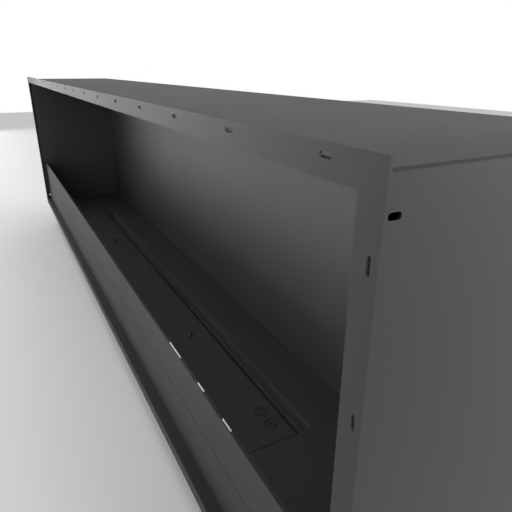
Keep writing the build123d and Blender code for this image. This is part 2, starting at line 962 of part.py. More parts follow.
with BuildPart() as switch_frame:
    with BuildSketch(Plane.YZ.offset(tray_half)):
        with Locations((switch_y, inlet_z)):
            RectangleRounded(switch_flange[0], switch_flange[1], switch_flange_thick)
    extrude(amount=switch_flange_thick)
    with BuildSketch(Plane.YZ.offset(tray_half)):
        with Locations((switch_y, inlet_z)):
            Rectangle(*switch_body)
    extrude(amount=-switch_body_depth)
    block(
        (tray_half + switch_flange_thick - switch_pocket_depth, tray_half + switch_flange_thick),
        (switch_y - rocker_width / 2 - rocker_gap, switch_y + rocker_width / 2 + rocker_gap),
        (inlet_z - rocker_r - rocker_gap, inlet_z + rocker_r + rocker_gap),
        mode=Mode.SUBTRACT,
    )
    with BuildSketch(Plane.XZ.offset(-switch_y - pin_reach)):
        with Locations((rocker_x, inlet_z)):
            Circle(rocker_pin_r + rocker_pin_fit)
    extrude(amount=2 * pin_reach, mode=Mode.SUBTRACT)

rocker_plane = Plane(
    (rocker_x, switch_y + rocker_width / 2, inlet_z),
    x_dir=(cos(radians(rocker_rest_tilt)), 0, sin(radians(rocker_rest_tilt))),
    z_dir=(0, -1, 0),
)

with BuildPart() as switch_rocker:
    with BuildSketch(rocker_plane):
        Circle(rocker_r)
        with BuildLine():
            Polyline(
                (rocker_crown, 0),
                (rocker_crown + rocker_edge, rocker_r),
                (2 * rocker_r, rocker_r),
                (2 * rocker_r, -rocker_r),
                (rocker_crown + rocker_edge, -rocker_r),
                close=True,
            )
        make_face(mode=Mode.SUBTRACT)
        with Locations((-rocker_back - rocker_r, 0)):
            Rectangle(2 * rocker_r, 2 * rocker_r, mode=Mode.SUBTRACT)
    extrude(amount=rocker_width)
    with BuildSketch(rocker_plane.offset(-rocker_pin_length)):
        Circle(rocker_pin_r)
    extrude(amount=rocker_width + 2 * rocker_pin_length)

lead_start = tray_half - inlet_body_depth
lead_end = supply_x + supply_size[0] / 2
lead_low = tray_floor + lead_r

with BuildPart() as inlet_lead:
    with BuildLine(Plane.XZ.offset(-inlet_y)):
        FilletPolyline(
            (lead_start, inlet_z),
            (lead_start - lead_first_run, inlet_z),
            (lead_start - lead_first_run - lead_slope_run, lead_low),
            (lead_end, lead_low),
            radius=lead_bend,
        )
    with BuildSketch(Plane((lead_start, inlet_y, inlet_z), x_dir=(0, 1, 0), z_dir=(-1, 0, 0))):
        Circle(lead_r)
    sweep()

# Write every piece to a file of its own

pieces = {
    "top_panel": top_panel,
    "left_side_panel": left_side_panel,
    "right_side_panel": right_side_panel,
    "back_panel": back_panel,
    "floor_panel": floor_panel,
    "casing_corner_angles": casing_corner_angles,
    "top_flange": top_flange,
    "bottom_flange": bottom_flange,
    "left_flange": left_flange,
    "right_flange": right_flange,
    "lower_front_rail": lower_front_rail,
    "upper_front_panel": upper_front_panel,
    "front_panel_brackets": front_panel_brackets,
    "left_side_liner": left_side_liner,
    "right_side_liner": right_side_liner,
    "key_carrier": key_carrier,
    "power_key": power_key,
    "flame_key": flame_key,
    "status_window": status_window,
    "cutout_rails": cutout_rails,
    "rear_floor_plate": rear_floor_plate,
    "slot_lid": slot_lid,
    "lid_knobs": lid_knobs,
    "button_bezels": button_bezels,
    "button_housings": button_housings,
    "light_button": light_button,
    "mist_button": mist_button,
    "base_tray": base_tray,
    "base_left_end": base_left_end,
    "base_right_end": base_right_end,
    "base_feet": base_feet,
    "base_screws": base_screws,
    "water_tank": water_tank,
    "drain_plug": drain_plug,
    "tank_cover": tank_cover,
    "mist_channel": mist_channel,
    "transducer_rings": transducer_rings,
    "transducer_discs": transducer_discs,
    "level_switch_stem": level_switch_stem,
    "level_float": level_float,
    "light_board_bar": light_board_bar,
    "light_chips": light_chips,
    "light_cover": light_cover,
    "left_fan_frame": left_fan_frame,
    "right_fan_frame": right_fan_frame,
    "left_fan_rotor": left_fan_rotor,
    "right_fan_rotor": right_fan_rotor,
    "power_supply": power_supply,
    "mist_driver": mist_driver,
    "board_standoffs": board_standoffs,
    "control_board": control_board,
    "board_parts": board_parts,
    "power_inlet": power_inlet,
    "inlet_pins": inlet_pins,
    "switch_frame": switch_frame,
    "switch_rocker": switch_rocker,
    "inlet_lead": inlet_lead,
}

os.makedirs("parts", exist_ok=True)
for name, piece in pieces.items():
    piece.part.label = name
    export_step(piece.part, f"parts/{name}.step")
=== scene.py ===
import json
import math

import bmesh
import bpy
from mathutils import Matrix, Vector


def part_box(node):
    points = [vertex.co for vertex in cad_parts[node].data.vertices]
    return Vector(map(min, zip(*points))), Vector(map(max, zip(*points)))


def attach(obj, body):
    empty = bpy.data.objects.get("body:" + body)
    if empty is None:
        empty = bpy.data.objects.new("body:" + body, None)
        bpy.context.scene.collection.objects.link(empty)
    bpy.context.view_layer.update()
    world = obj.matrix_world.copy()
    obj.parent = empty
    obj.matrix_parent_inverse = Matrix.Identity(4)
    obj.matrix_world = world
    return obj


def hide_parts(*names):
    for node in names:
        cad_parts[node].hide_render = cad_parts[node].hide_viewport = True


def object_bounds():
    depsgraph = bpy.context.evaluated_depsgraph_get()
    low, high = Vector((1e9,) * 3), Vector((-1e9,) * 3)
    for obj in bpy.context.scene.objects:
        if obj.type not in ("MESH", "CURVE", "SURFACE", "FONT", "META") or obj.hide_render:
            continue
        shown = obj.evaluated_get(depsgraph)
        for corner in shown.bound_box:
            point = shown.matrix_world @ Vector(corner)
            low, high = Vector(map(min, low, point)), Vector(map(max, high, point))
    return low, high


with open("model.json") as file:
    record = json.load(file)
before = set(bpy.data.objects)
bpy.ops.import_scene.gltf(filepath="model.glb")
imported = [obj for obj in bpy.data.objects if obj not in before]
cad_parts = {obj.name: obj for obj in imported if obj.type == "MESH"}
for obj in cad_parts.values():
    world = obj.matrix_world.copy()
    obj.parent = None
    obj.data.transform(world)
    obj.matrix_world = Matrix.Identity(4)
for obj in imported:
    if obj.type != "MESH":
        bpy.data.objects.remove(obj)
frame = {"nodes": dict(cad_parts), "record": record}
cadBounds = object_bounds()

mm = 0.001
nodes = frame["nodes"]
bodyOf = {node: body for body, members in frame["record"]["behaviour"]["bodies"].items() for node in members}
slotOf = {row["node"]: row["material_slot"] for row in frame["record"]["subparts"]}
print("frame loaded:", len(nodes), "nodes")


# Colours, nodes and materials

def linear(hexColour):
    channels = [int(hexColour[i:i + 2], 16) / 255 for i in (1, 3, 5)]
    return [c / 12.92 if c <= 0.04045 else ((c + 0.055) / 1.055) ** 2.4 for c in channels] + [1.0]


def addNode(tree, kind, inputs=None, **settings):
    node = tree.nodes.new(kind)
    for name, value in settings.items():
        setattr(node, name, value)
    for socket, value in (inputs or {}).items():
        if isinstance(value, bpy.types.NodeSocket):
            tree.links.new(value, node.inputs[socket])
        else:
            node.inputs[socket].default_value = value
    return node


def newMaterial(name):
    material = bpy.data.materials.new(name)
    material.use_nodes = True
    tree = material.node_tree
    tree.nodes.clear()
    shader = addNode(tree, "ShaderNodeBsdfPrincipled")
    addNode(tree, "ShaderNodeOutputMaterial", {"Surface": shader.outputs["BSDF"]})
    coords = addNode(tree, "ShaderNodeTexCoord").outputs["Object"]
    return material, tree, shader, coords


def perMetre(sizeMm):
    return 1.0 / (sizeMm * mm)  # texture scale for a feature of that size


# Powder-coated sheet steel: sprayed dry and baked, so the eye gets a matt, finely pebbled charcoal skin with
# no brush marks, faintly cloudy over a hand's width. The real pebble is 0.3 mm; it is drawn coarser to show.
# On bent and cut edges the film flows thin and a little glossier; their lighter tone is a painted highlight.
powderCoat = {
    "face": ("#303030", "#333333"), "edge": ("#383838", "#3d3d3d"), "roughness": 0.56, "edgeRoughness": 0.46,
    "specular": 0.30, "pebbleMm": 1.1, "cloudMm": 170.0, "pebbleStrength": 0.14, "pebbleDepthMm": 0.06,
}


def makePowderCoat(name, tones, roughness):
    p = powderCoat
    material, tree, shader, coords = newMaterial(name)
    cloud = addNode(tree, "ShaderNodeTexNoise", {"Vector": coords, "Scale": perMetre(p["cloudMm"]), "Detail": 3.0})
    pebble = addNode(tree, "ShaderNodeTexNoise", {"Vector": coords, "Scale": perMetre(p["pebbleMm"]), "Detail": 2.0})
    tone = addNode(tree, "ShaderNodeMix", {
        0: cloud.outputs["Fac"], 6: linear(tones[0]), 7: linear(tones[1])}, data_type="RGBA")
    gloss = addNode(tree, "ShaderNodeMath", {
        0: cloud.outputs["Fac"], 1: pebble.outputs["Fac"]}, operation="MULTIPLY")
    rough = addNode(tree, "ShaderNodeMapRange", {
        "Value": gloss.outputs["Value"], "From Max": 0.5, "To Min": roughness - 0.05, "To Max": roughness + 0.05})
    bump = addNode(tree, "ShaderNodeBump", {
        "Height": pebble.outputs["Fac"], "Strength": p["pebbleStrength"], "Distance": p["pebbleDepthMm"] * mm})
    tree.links.new(tone.outputs[2], shader.inputs["Base Color"])
    tree.links.new(rough.outputs["Result"], shader.inputs["Roughness"])
    tree.links.new(bump.outputs["Normal"], shader.inputs["Normal"])
    shader.inputs["Specular IOR Level"].default_value = p["specular"]
    return material


# Hot-dip galvanised sheet: zinc freezes into flat crystals, so it is a pale grey metal with patchy spangle
galvanised = {"tones": ("#888c8f", "#a0a4a7"), "roughness": 0.42, "spangleMm": 5.5, "streakMm": 60.0}


def makeGalvanised():
    p = galvanised
    material, tree, shader, coords = newMaterial("galvanisedSheet")
    spangle = addNode(tree, "ShaderNodeTexVoronoi", {"Vector": coords, "Scale": perMetre(p["spangleMm"])})
    streak = addNode(tree, "ShaderNodeTexNoise", {"Vector": coords, "Scale": perMetre(p["streakMm"])})
    crystal = addNode(tree, "ShaderNodeSeparateColor", {"Color": spangle.outputs["Color"]})
    blend = addNode(tree, "ShaderNodeMath", {
        0: crystal.outputs["Red"], 1: streak.outputs["Fac"]}, operation="MULTIPLY")
    tone = addNode(tree, "ShaderNodeMix", {
        0: blend.outputs["Value"], 6: linear(p["tones"][0]), 7: linear(p["tones"][1])}, data_type="RGBA")
    rough = addNode(tree, "ShaderNodeMapRange", {
        "Value": crystal.outputs["Green"], "To Min": p["roughness"] - 0.08, "To Max": p["roughness"] + 0.12})
    tree.links.new(tone.outputs[2], shader.inputs["Base Color"])
    tree.links.new(rough.outputs["Result"], shader.inputs["Roughness"])
    shader.inputs["Metallic"].default_value = 1.0
    return material


# Moulded plastics, resin and rubber: one even colour, with the faint pebble of a spark-eroded mould
def makeMoulded(name, tones, roughness, grainMm, strength=0.12, ior=1.5):
    material, tree, shader, coords = newMaterial(name)
    grain = addNode(tree, "ShaderNodeTexNoise", {"Vector": coords, "Scale": perMetre(grainMm), "Detail": 2.0})
    drift = addNode(tree, "ShaderNodeTexNoise", {"Vector": coords, "Scale": perMetre(40.0)})
    tone = addNode(tree, "ShaderNodeMix", {
        0: drift.outputs["Fac"], 6: linear(tones[0]), 7: linear(tones[1])}, data_type="RGBA")
    rough = addNode(tree, "ShaderNodeMapRange", {
        "Value": grain.outputs["Fac"], "To Min": roughness - 0.04, "To Max": roughness + 0.04})
    bump = addNode(tree, "ShaderNodeBump", {
        "Height": grain.outputs["Fac"], "Strength": strength, "Distance": 0.05 * mm})
    tree.links.new(tone.outputs[2], shader.inputs["Base Color"])
    tree.links.new(rough.outputs["Result"], shader.inputs["Roughness"])
    tree.links.new(bump.outputs["Normal"], shader.inputs["Normal"])
    shader.inputs["IOR"].default_value = ior
    return material


# Turned, plated or rolled metals: a clean metal whose fine tool or roll marks vary its gloss
def makeMetal(name, tones, roughness, markMm, stretch=(1, 1, 1)):
    material, tree, shader, coords = newMaterial(name)
    lined = addNode(tree, "ShaderNodeMapping", {"Vector": coords, "Scale": stretch})
    marks = addNode(tree, "ShaderNodeTexNoise", {
        "Vector": lined.outputs["Vector"], "Scale": perMetre(markMm), "Detail": 3.0})
    tone = addNode(tree, "ShaderNodeMix", {
        0: marks.outputs["Fac"], 6: linear(tones[0]), 7: linear(tones[1])}, data_type="RGBA")
    rough = addNode(tree, "ShaderNodeMapRange", {
        "Value": marks.outputs["Fac"], "To Min": roughness - 0.08, "To Max": roughness + 0.08})
    bump = addNode(tree, "ShaderNodeBump", {
        "Height": marks.outputs["Fac"], "Strength": 0.1, "Distance": 0.03 * mm})
    tree.links.new(tone.outputs[2], shader.inputs["Base Color"])
    tree.links.new(rough.outputs["Result"], shader.inputs["Roughness"])
    tree.links.new(bump.outputs["Normal"], shader.inputs["Normal"])
    shader.inputs["Metallic"].default_value = 1.0
    return material


# Extruded clear acrylic: see-through, with the slight haze and draw lines of the die along its length
def makeClearAcrylic():
    material, tree, shader, coords = newMaterial("extrudedClearAcrylic")
    drawn = addNode(tree, "ShaderNodeMapping", {"Vector": coords, "Scale": (0.03, 1, 1)})
    haze = addNode(tree, "ShaderNodeTexNoise", {"Vector": drawn.outputs["Vector"], "Scale": perMetre(1.5)})
    rough = addNode(tree, "ShaderNodeMapRange", {"Value": haze.outputs["Fac"], "To Min": 0.12, "To Max": 0.3})
    tree.links.new(rough.outputs["Result"], shader.inputs["Roughness"])
    shader.inputs["Base Color"].default_value = linear("#f2f4f4")
    shader.inputs["Transmission Weight"].default_value = 0.85
    shader.inputs["IOR"].default_value = 1.49
    return material


# Glass-fibre circuit board: green lacquer over copper, so paler tracks show through a soft gloss
def makeBoardLacquer():
    material, tree, shader, coords = newMaterial("lacqueredGlassFibre")
    tracks = addNode(tree, "ShaderNodeTexBrick", {
        "Vector": coords, "Scale": perMetre(18.0), "Mortar Size": 0.04,
        "Color1": linear("#1d5a33"), "Color2": linear("#1a5230"), "Mortar": linear("#2f7a48")})
    weave = addNode(tree, "ShaderNodeTexNoise", {"Vector": coords, "Scale": perMetre(0.8)})
    rough = addNode(tree, "ShaderNodeMapRange", {"Value": weave.outputs["Fac"], "To Min": 0.28, "To Max": 0.4})
    tree.links.new(tracks.outputs["Color"], shader.inputs["Base Color"])
    tree.links.new(rough.outputs["Result"], shader.inputs["Roughness"])
    return material


materials = {
    "charcoal_paint": makePowderCoat("powderCoatedSteel", powderCoat["face"], powderCoat["roughness"]),
    "tray_steel": makeGalvanised(),
    "tank_plastic": makeMoulded("mouldedAbsTank", ("#3f4043", "#47484b"), 0.5, 1.4),
    "black_plastic": makeMoulded("mouldedNylon", ("#17181a", "#1d1e20"), 0.5, 1.0),
    "pale_key": makeMoulded("mouldedPaleAbs", ("#cfcfcd", "#d8d8d6"), 0.42, 0.8, 0.06),
    "window_lens": makeMoulded("frostedAcrylic", ("#d6d7d7", "#e0e1e1"), 0.32, 2.0, 0.03, 1.49),
    "light_lens": makeClearAcrylic(),
    "foot_rubber": makeMoulded("mouldedRubber", ("#161616", "#1f1f1f"), 0.8, 1.6, 0.25),
    "zinc_screw": makeMetal("zincPlatedSteel", ("#8f928f", "#b4b6b0"), 0.36, 1.5),
    "knob_steel": makeMetal("blackNickelPlate", ("#565759", "#666769"), 0.2, 0.5, (1, 1, 8)),
    "disc_ceramic": makeMetal("silveredPiezoDisc", ("#b9b2a0", "#cfc8b4"), 0.3, 4.0),
    "board_green": makeBoardLacquer(),
    "light_board_white": makeMoulded("whiteSolderMask", ("#d9dcdc", "#e3e6e6"), 0.4, 3.0, 0.05),
    "chip_yellow": makeMoulded("phosphorResin", ("#d8c24a", "#e6d268"), 0.25, 1.0, 0.03),
    "case_aluminium": makeMetal("foldedAluminium", ("#a4a7a9", "#b9bcbd"), 0.38, 2.0, (0.05, 1, 1)),
    "pin_brass": makeMetal("turnedBrass", ("#b39a5c", "#c9b273"), 0.3, 1.0),
    "float_white": makeMoulded("foamedPlastic", ("#d6d5cf", "#e2e1dc"), 0.65, 0.9, 0.3),
}
# The lighter edge paint is a painted highlight: it goes on rounded edges, slot beads, the slot hem and the weld
# marks.
paintEdgeHighlight = makePowderCoat("powderCoatedEdgePaintedHighlight", powderCoat["edge"], powderCoat["edgeRoughness"])
# Near-black nylon: painted shade in the gaps round the button rings and in the buttons' sunk middles
nylonPaintedShade = makeMoulded("sparkErodedNylonPaintedShade", ("#0b0b0c", "#111112"), 0.75, 0.6, 0.3)  # coarse mould, hardly any shine
for name, node in nodes.items():
    node.data.materials.clear()
    node.data.materials.append(materials[slotOf[name]])
print("materials made:", len(materials) + 2)


# Folded and moulded pieces with the small rounds that bending, spraying and moulding leave on their edges
edgeRounds = {
    "segments": 2, "sharpDegrees": 35,
    "roundMm": {
        "top_panel": 0.5, "left_side_panel": 0.5, "right_side_panel": 0.5, "back_panel": 0.4, "floor_panel": 0.4,
        "casing_corner_angles": 0.4, "top_flange": 0.5, "bottom_flange": 0.5, "left_flange": 0.5,
        "right_flange": 0.5, "lower_front_rail": 0.12, "upper_front_panel": 0.12, "front_panel_brackets": 0.4,
        "left_side_liner": 0.3, "right_side_liner": 0.3,
        "cutout_rails": 0.4, "rear_floor_plate": 0.4, "slot_lid": 0.4, "mist_channel": 0.3,
        "base_tray": 0.4, "base_left_end": 0.4, "base_right_end": 0.4,
        "key_carrier": 0.3, "power_key": 0.15, "flame_key": 0.15, "status_window": 0.15,
        "water_tank": 0.8, "tank_cover": 0.4, "light_board_bar": 0.2, "light_cover": 0.25,
        "left_fan_frame": 0.4, "right_fan_frame": 0.4, "button_housings": 0.4,
        "power_supply": 0.6, "mist_driver": 0.6, "control_board": 0.15, "board_parts": 0.4,
        "power_inlet": 0.5, "inlet_pins": 0.25, "switch_frame": 0.4, "switch_rocker": 0.3,
    },
}


def roundEdges(name, roundMm):
    mesh = nodes[name].data.copy()
    build = bmesh.new()
    build.from_mesh(mesh)
    bmesh.ops.remove_doubles(build, verts=build.verts, dist=0.002 * mm)
    bmesh.ops.dissolve_limit(build, angle_limit=math.radians(1.0), verts=build.verts, edges=build.edges)
    build.to_mesh(mesh)
    build.free()
    host = bpy.data.objects.new(name + "_host", mesh)
    bpy.context.collection.objects.link(host)
    # Painted sheets take the lighter edge paint on their rounds, a painted highlight along every bent and cut edge.
    highlightedRounds = slotOf[name] == "charcoal_paint" and roundMm > 0.2
    if highlightedRounds:
        mesh.materials.append(paintEdgeHighlight)
    bevel = host.modifiers.new("edge", "BEVEL")
    bevel.width = roundMm * mm
    bevel.segments = edgeRounds["segments"]
    bevel.limit_method = "ANGLE"
    bevel.angle_limit = math.radians(edgeRounds["sharpDegrees"])
    bevel.material = 1 if highlightedRounds else -1
    for polygon in mesh.polygons:
        polygon.use_smooth = True
    flats = host.modifiers.new("flats", "WEIGHTED_NORMAL")  # keeps the sheets flat between their rounds
    flats.weight = 90
    baked = bpy.data.meshes.new_from_object(host.evaluated_get(bpy.context.evaluated_depsgraph_get()))
    bpy.data.objects.remove(host)
    return baked


def addPiece(name, mesh, node, replaced=(), finish=None):
    mesh.name = name
    if finish is not None:
        mesh.materials.clear()
        mesh.materials.append(finish)
    piece = bpy.data.objects.new(name, mesh)
    bpy.context.collection.objects.link(piece)
    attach(piece, bodyOf[node])
    if replaced:
        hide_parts(*replaced)
    return piece


for name, roundMm in edgeRounds["roundMm"].items():
    addPiece(name + "_finished", roundEdges(name, roundMm), name, [name])
print("edges rounded:", len(edgeRounds["roundMm"]))


# Turned shapes from a profile of radius and height in mm, and joining of meshes

def turned(profile, steps=32, closed=False):
    build = bmesh.new()
    rings = []
    for radius, height in profile:
        count = steps if radius > 0 else 1
        rings.append([build.verts.new((
            radius * mm * math.cos(2 * math.pi * i / steps), radius * mm * math.sin(2 * math.pi * i / steps),
            height * mm)) for i in range(count)])
    pairs = list(zip(rings, rings[1:])) + ([(rings[-1], rings[0])] if closed else [])
    for lower, upper in pairs:
        for i in range(steps):
            j = (i + 1) % steps
            ring = [lower[i % len(lower)], lower[j % len(lower)], upper[j % len(upper)], upper[i % len(upper)]]
            build.faces.new(list(dict.fromkeys(ring)))
    bmesh.ops.recalc_face_normals(build, faces=build.faces)
    mesh = bpy.data.meshes.new("turned")
    build.to_mesh(mesh)
    build.free()
    return smoothed(mesh)


def smoothed(mesh, sharpDegrees=38):
    for polygon in mesh.polygons:
        polygon.use_smooth = True
    mesh.set_sharp_from_angle(angle=math.radians(sharpDegrees))
    return mesh


def swept(profile, lowX, highX, y, z):
    build = bmesh.new()
    ends = [[build.verts.new((x, y + across * mm, z + up * mm)) for across, up in profile] for x in (lowX, highX)]
    for end in ends:
        build.faces.new(end)
    for i in range(len(profile)):
        build.faces.new((ends[0][i - 1], ends[0][i], ends[1][i], ends[1][i - 1]))
    bmesh.ops.recalc_face_normals(build, faces=build.faces)
    mesh = bpy.data.meshes.new("swept")
    build.to_mesh(mesh)
    build.free()
    return smoothed(mesh)


def joined(meshes):
    build = bmesh.new()
    for mesh in meshes:
        build.from_mesh(mesh)
    result = bpy.data.meshes.new("joined")
    build.to_mesh(result)
    build.free()
    return smoothed(result)


def moved(mesh, matrix):
    mesh.transform(matrix)
    return mesh


# Geometry Nodes: rows of copies, slot rims, fan blades and scattered board components

def newTree(name, inputs):
    tree = bpy.data.node_groups.new(name, "GeometryNodeTree")
    tree.interface.new_socket("Geometry", in_out="OUTPUT", socket_type="NodeSocketGeometry")
    for label, kind in inputs.items():
        tree.interface.new_socket(label, in_out="INPUT", socket_type="NodeSocket" + kind)
    return tree, addNode(tree, "NodeGroupInput").outputs


def closeTree(tree, copies, finish):
    real = addNode(tree, "GeometryNodeRealizeInstances", {"Geometry": copies})
    dressed = addNode(tree, "GeometryNodeSetMaterial", {"Geometry": real.outputs["Geometry"], "Material": finish})
    addNode(tree, "NodeGroupOutput", {"Geometry": dressed.outputs["Geometry"]})
    return tree


def makeGridTree():
    tree, given = newTree("piecesOnGrid", {
        "Source": "Object", "Columns": "Int", "Rows": "Int", "Start": "Vector", "Column Step": "Vector",
        "Row Step": "Vector", "Turn": "Vector", "Finish": "Material"})
    rows = addNode(tree, "GeometryNodeMeshLine", {
        "Count": given["Rows"], "Start Location": given["Start"], "Offset": given["Row Step"]})
    columns = addNode(tree, "GeometryNodeMeshLine", {"Count": given["Columns"], "Offset": given["Column Step"]})
    grid = addNode(tree, "GeometryNodeInstanceOnPoints", {
        "Points": rows.outputs["Mesh"], "Instance": columns.outputs["Mesh"]})
    places = addNode(tree, "GeometryNodeRealizeInstances", {"Geometry": grid.outputs["Instances"]})
    shape = addNode(tree, "GeometryNodeObjectInfo", {"Object": given["Source"]})
    copies = addNode(tree, "GeometryNodeInstanceOnPoints", {
        "Points": places.outputs["Geometry"], "Instance": shape.outputs["Geometry"], "Rotation": given["Turn"]})
    return closeTree(tree, copies.outputs["Instances"], given["Finish"])


def makeRimTree():
    tree, given = newTree("punchedSlotRims", {
        "Count": "Int", "Start": "Vector", "Step": "Vector", "Turn": "Vector", "Slot Length": "Float",
        "Slot Width": "Float", "Corner": "Float", "Bead": "Float", "Finish": "Material"})
    line = addNode(tree, "GeometryNodeMeshLine", {
        "Count": given["Count"], "Start Location": given["Start"], "Offset": given["Step"]})
    box = addNode(tree, "GeometryNodeCurvePrimitiveQuadrilateral", {
        "Width": given["Slot Length"], "Height": given["Slot Width"]})
    outline = addNode(tree, "GeometryNodeFilletCurve", {
        "Curve": box.outputs["Curve"], "Radius": given["Corner"], "Limit Radius": True, "Count": 6}, mode="POLY")
    bead = addNode(tree, "GeometryNodeCurvePrimitiveCircle", {"Resolution": 8, "Radius": given["Bead"]})
    rim = addNode(tree, "GeometryNodeCurveToMesh", {
        "Curve": outline.outputs["Curve"], "Profile Curve": bead.outputs["Curve"]})
    copies = addNode(tree, "GeometryNodeInstanceOnPoints", {
        "Points": line.outputs["Mesh"], "Instance": rim.outputs["Mesh"], "Rotation": given["Turn"]})
    return closeTree(tree, copies.outputs["Instances"], given["Finish"])


def makeBladeTree():
    tree, given = newTree("bladesRoundHub", {
        "Source": "Object", "Count": "Int", "Centre": "Vector", "Finish": "Material"})
    line = addNode(tree, "GeometryNodeMeshLine", {
        "Count": given["Count"], "Start Location": given["Centre"], "Offset": (0, 0, 0)})
    share = addNode(tree, "ShaderNodeMath", {0: 2 * math.pi, 1: given["Count"]}, operation="DIVIDE")
    index = addNode(tree, "GeometryNodeInputIndex")
    angle = addNode(tree, "ShaderNodeMath", {
        0: index.outputs["Index"], 1: share.outputs["Value"]}, operation="MULTIPLY")
    turn = addNode(tree, "ShaderNodeCombineXYZ", {"X": angle.outputs["Value"]})
    shape = addNode(tree, "GeometryNodeObjectInfo", {"Object": given["Source"]})
    copies = addNode(tree, "GeometryNodeInstanceOnPoints", {
        "Points": line.outputs["Mesh"], "Instance": shape.outputs["Geometry"], "Rotation": turn.outputs["Vector"]})
    return closeTree(tree, copies.outputs["Instances"], given["Finish"])


def makeScatterTree():
    tree, given = newTree("componentsOnBoard", {
        "Source": "Object", "Centre": "Vector", "Length": "Float", "Width": "Float", "Spacing": "Float",
        "Density": "Float", "Seed": "Int", "Finish": "Material"})
    sheet = addNode(tree, "GeometryNodeMeshGrid", {
        "Size X": given["Length"], "Size Y": given["Width"], "Vertices X": 2, "Vertices Y": 2})
    laid = addNode(tree, "GeometryNodeTransform", {"Geometry": sheet.outputs["Mesh"], "Translation": given["Centre"]})
    dots = addNode(tree, "GeometryNodeDistributePointsOnFaces", {
        "Mesh": laid.outputs["Geometry"], "Distance Min": given["Spacing"], "Density Max": given["Density"],
        "Seed": given["Seed"]}, distribute_method="POISSON")
    quarter = addNode(tree, "FunctionNodeRandomValue", {4: 0, 5: 1, "Seed": given["Seed"]}, data_type="INT")
    angle = addNode(tree, "ShaderNodeMath", {
        0: quarter.outputs[2], 1: math.pi / 2}, operation="MULTIPLY")
    turn = addNode(tree, "ShaderNodeCombineXYZ", {"Z": angle.outputs["Value"]})
    size = addNode(tree, "FunctionNodeRandomValue", {2: 0.6, 3: 1.1, "Seed": given["Seed"]}, data_type="FLOAT")
    shape = addNode(tree, "GeometryNodeObjectInfo", {"Object": given["Source"]})
    copies = addNode(tree, "GeometryNodeInstanceOnPoints", {
        "Points": dots.outputs["Points"], "Instance": shape.outputs["Geometry"],
        "Rotation": turn.outputs["Vector"], "Scale": size.outputs[1]})
    return closeTree(tree, copies.outputs["Instances"], given["Finish"])


trees = {"grid": makeGridTree(), "rims": makeRimTree(), "blades": makeBladeTree(), "scatter": makeScatterTree()}


def grow(kind, settings, source=None):
    tree = trees[kind]
    host = bpy.data.objects.new("growHost", bpy.data.meshes.new("growHost"))
    bpy.context.collection.objects.link(host)
    modifier = host.modifiers.new("grow", "NODES")
    modifier.node_group = tree
    sockets = {item.name: item.identifier for item in tree.interface.items_tree if item.in_out == "INPUT"}
    if source is not None:
        settings = dict(settings, Source=bpy.data.objects.new("growSource", source))
        bpy.context.collection.objects.link(settings["Source"])
    for label, value in settings.items():
        modifier[sockets[label]] = value
    grown = bpy.data.meshes.new_from_object(host.evaluated_get(bpy.context.evaluated_depsgraph_get()))
    bpy.data.objects.remove(host)
    if source is not None:
        bpy.data.objects.remove(settings["Source"])
    return grown


def onGrid(node, source, finish, columns, rows, reachMm, z, turn=(0, 0, 0)):
    low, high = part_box(node)
    start = Vector((low[0] + reachMm * mm, low[1] + reachMm * mm, z))
    across = (high[0] - low[0] - 2 * reachMm * mm) / max(columns - 1, 1)
    along = (high[1] - low[1] - 2 * reachMm * mm) / max(rows - 1, 1)
    return grow("grid", {
        "Columns": columns, "Rows": rows, "Start": start, "Column Step": (across, 0, 0), "Row Step": (0, along, 0),
        "Turn": turn, "Finish": finish}, source)


# Beads round the punched slots, in the lighter edge paint: a painted highlight on the slot rims
slotRows = {
    "beadMm": 0.30, "sunkMm": 0.2, "flangeSlotMm": (12.0, 4.0), "sideSlotMm": (10.0, 5.0),
    "pitchMm": 120.0, "count": 17, "insetMm": 7.2, "uprightPitchMm": 98.7, "uprightCount": 5,
    "sideInsetMm": (15.0, 24.7),
}


def makeSlotRims():
    p = slotRows
    low = Vector(cadBounds[0])
    flangeLow = Vector(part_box("bottom_flange")[0])
    flangeHigh = Vector(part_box("top_flange")[1])
    middle = (flangeLow.z + flangeHigh.z) / 2
    front = flangeLow.y + p["sunkMm"] * mm
    inset = p["insetMm"] * mm
    flat, upright, sideways = (math.pi / 2, 0, 0), (math.pi / 2, math.pi / 2, 0), (math.pi / 2, 0, math.pi / 2)
    rows = []
    for z in (flangeLow.z + inset, flangeHigh.z - inset):
        start = Vector((-p["pitchMm"] * mm * (p["count"] - 1) / 2, front, z))
        rows.append((start, (p["pitchMm"] * mm, 0, 0), p["count"], flat, p["flangeSlotMm"]))
    for x in (flangeLow.x + inset, flangeHigh.x - inset):
        start = Vector((x, front, middle - p["uprightPitchMm"] * mm * (p["uprightCount"] - 1) / 2))
        rows.append((start, (0, 0, p["uprightPitchMm"] * mm), p["uprightCount"], upright, p["flangeSlotMm"]))
    for node, side in (("left_side_panel", 0), ("right_side_panel", 1)):
        wall = [Vector(corner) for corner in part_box(node)]
        x = wall[side].x + (p["sunkMm"] * mm if side == 0 else -p["sunkMm"] * mm)
        lowest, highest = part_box("floor_panel")[0][2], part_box("top_panel")[1][2]
        for z in (lowest + p["sideInsetMm"][1] * mm, highest - p["sideInsetMm"][1] * mm):
            y = low.y + p["sideInsetMm"][0] * mm
            rows.append((Vector((x, y, z)), (0, -2 * y, 0), 2, sideways, p["sideSlotMm"]))
    meshes = []
    for start, step, count, turn, size in rows:
        meshes.append(grow("rims", {
            "Count": count, "Start": start, "Step": step, "Turn": turn, "Slot Length": size[0] * mm,
            "Slot Width": size[1] * mm, "Corner": size[1] * mm / 2, "Bead": p["beadMm"] * mm, "Finish": paintEdgeHighlight}))
    addPiece("slot_paint_beads", joined(meshes), "top_flange", finish=paintEdgeHighlight)


makeSlotRims()
print("slot beads made")


